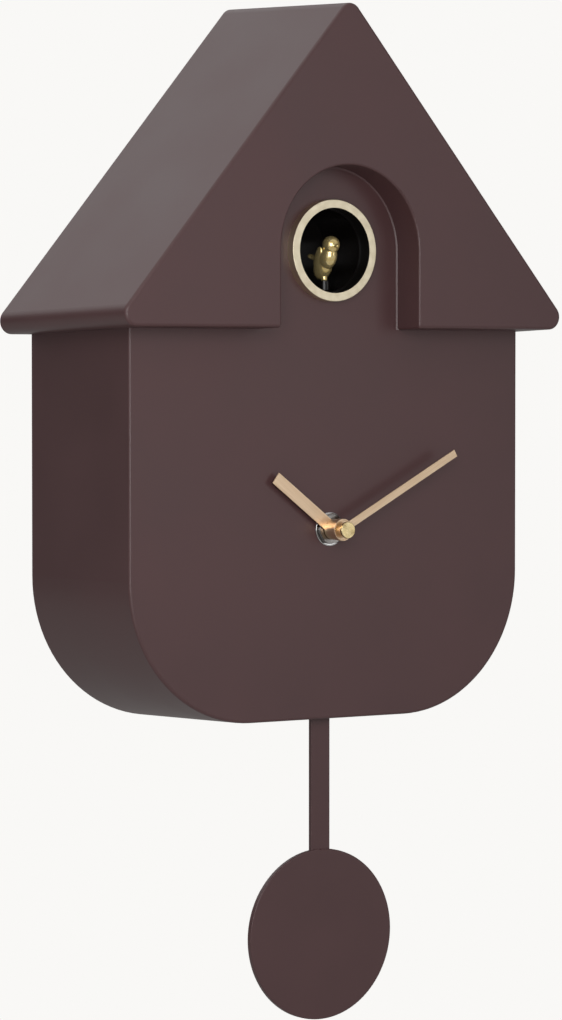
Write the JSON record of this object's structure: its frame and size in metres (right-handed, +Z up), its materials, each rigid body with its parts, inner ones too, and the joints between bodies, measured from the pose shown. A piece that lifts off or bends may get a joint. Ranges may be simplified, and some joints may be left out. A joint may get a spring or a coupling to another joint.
{
  "type": "cuckoo clock",
  "caption": "House-shaped wall clock with a gabled roof, an arched recess for a gold bird in a ring, two hands and a disc pendulum on a flat rod.",
  "frame": {"origin": "centre of the keyhole's entry hole, on the wall plane", "axes": "+X to the viewer's right, +Y into the wall, +Z up"},
  "size_m": [0.2204, 0.085, 0.408],
  "materials": {
    "case_plastic": "satin dark aubergine-brown moulded ABS with a very fine grain",
    "back_plastic": "plain black moulded plastic",
    "tunnel_plastic": "glossy black moulded plastic",
    "champagne_metal": "pale champagne gold, fine turned face",
    "hand_metal": "brushed pale copper-gold",
    "bright_brass": "turned brass",
    "chrome": "bright plated",
    "gold_plate": "mirror gold plating",
    "steel": "bright zinc-plated steel",
    "grey_plastic": "grey moulded plastic",
    "white_plastic": "natural acetal",
    "rubber_black": "black rubber",
    "copper_wire": "varnished copper winding",
    "board_green": "green solder-masked laminate",
    "cell_jacket": "plain dark cell jacket",
    "ferrite": "sintered ferrite",
    "paper_cone": "black paper cone",
    "lens_clear": "clear moulded lens"
  },
  "bodies": {
    "case": {"roof_shell": "case_plastic", "body_shell": "case_plastic", "back_plate": "back_plastic", "battery_box": "back_plastic", "hanger_plate": "steel", "hanger_screws": "steel", "case_screws": "steel", "roof_screws": "steel", "unit_screws": "steel", "plate_screws": "steel", "ring_bezel": "champagne_metal", "bird_tunnel": "tunnel_plastic", "slide_base": "grey_plastic", "bird_motor": "steel", "movement_case": "back_plastic", "movement_cover": "back_plastic", "stepper_motor": "copper_wire", "threaded_bush": "bright_brass", "rubber_washer": "rubber_black", "dial_washer": "chrome", "bush_nut": "chrome", "pendulum_case": "grey_plastic", "drive_coil": "copper_wire", "pendulum_pin": "steel", "battery_cells": "cell_jacket", "battery_springs": "steel", "battery_contacts": "steel", "speaker_frame": "steel", "speaker_cone": "paper_cone", "speaker_magnet": "ferrite", "circuit_board": "board_green", "board_chips": "back_plastic", "board_capacitors": "cell_jacket", "control_bases": "grey_plastic", "light_sensor": "lens_clear"},
    "bird_slider": {"bird": "gold_plate", "bird_arm": "tunnel_plastic", "bird_carriage": "white_plastic"},
    "drive_train": {"reduction_gear": "white_plastic", "bird_pinion": "white_plastic", "drive_shaft": "steel"},
    "motor_rotor": {"motor_pinion": "bright_brass"},
    "minute_train": {"minute_hand": "hand_metal", "minute_arbor": "bright_brass", "hand_cap": "bright_brass"},
    "hour_train": {"hour_hand": "hand_metal", "hour_wheel": "bright_brass"},
    "motion_train": {"motion_wheel": "white_plastic"},
    "set_knob": {"time_set_knob": "grey_plastic"},
    "pendulum": {"pendulum_lever": "grey_plastic", "pendulum_magnet": "steel", "pendulum_rod": "case_plastic", "bob": "case_plastic", "bob_clip": "grey_plastic"},
    "door": {"battery_door": "back_plastic"},
    "volume": {"volume_knob": "grey_plastic"},
    "mode": {"mode_switch": "grey_plastic"},
    "test": {"test_button": "grey_plastic"}
  },
  "joints": [
    {"name": "bird_slide", "type": "slide", "parent": "case", "child": "bird_slider", "axis": [0, -1, 0], "range_m": [0, 0.018]},
    {"name": "pinion_spin", "type": "hinge", "parent": "case", "child": "drive_train", "pos_m": [0.0102, -0.03, -0.07], "axis": [0, 0, 1], "range_deg": [-1, 247]},
    {"name": "motor_spin", "type": "hinge", "parent": "case", "child": "motor_rotor", "pos_m": [0.0246, -0.03, -0.074], "axis": [0, 0, 1], "range_deg": [-740, 1]},
    {"name": "minute_turn", "type": "hinge", "parent": "case", "child": "minute_train", "pos_m": [0, -0.07, -0.1548], "axis": [0, 1, 0], "continuous": true},
    {"name": "hour_turn", "type": "hinge", "parent": "case", "child": "hour_train", "pos_m": [0, -0.07, -0.1548], "axis": [0, 1, 0], "continuous": true},
    {"name": "motion_turn", "type": "hinge", "parent": "case", "child": "motion_train", "pos_m": [-0.0084, -0.06, -0.1548], "axis": [0, 1, 0], "continuous": true},
    {"name": "set_turn", "type": "hinge", "parent": "case", "child": "set_knob", "pos_m": [-0.0168, -0.06, -0.1548], "axis": [0, 1, 0], "continuous": true},
    {"name": "pendulum_swing", "type": "hinge", "parent": "case", "child": "pendulum", "pos_m": [0, -0.06, -0.189], "axis": [0, 1, 0], "range_deg": [-8, 8]},
    {"name": "door_slide", "type": "slide", "parent": "case", "child": "door", "axis": [0, 0, 1], "range_m": [0, 0.022]},
    {"name": "volume_turn", "type": "hinge", "parent": "case", "child": "volume", "pos_m": [0.0405, -0.006, -0.111], "axis": [0, 1, 0], "range_deg": [-135, 135]},
    {"name": "mode_slide", "type": "slide", "parent": "case", "child": "mode", "axis": [1, 0, 0], "range_m": [-0.002, 0.002]},
    {"name": "test_press", "type": "slide", "parent": "case", "child": "test", "axis": [0, -1, 0], "range_m": [0, 0.0015], "stiffness_N_per_m": 400, "springref_m": -0.0005}
  ],
  "couplings": [
    {"joint": "pinion_spin", "follows": "bird_slide", "rad_per_m": 238.1},
    {"joint": "motor_spin", "follows": "bird_slide", "rad_per_m": -714.29},
    {"joint": "hour_turn", "follows": "minute_turn", "ratio": 0.083333},
    {"joint": "motion_turn", "follows": "minute_turn", "ratio": -0.33333},
    {"joint": "set_turn", "follows": "minute_turn", "ratio": 1}
  ]
}
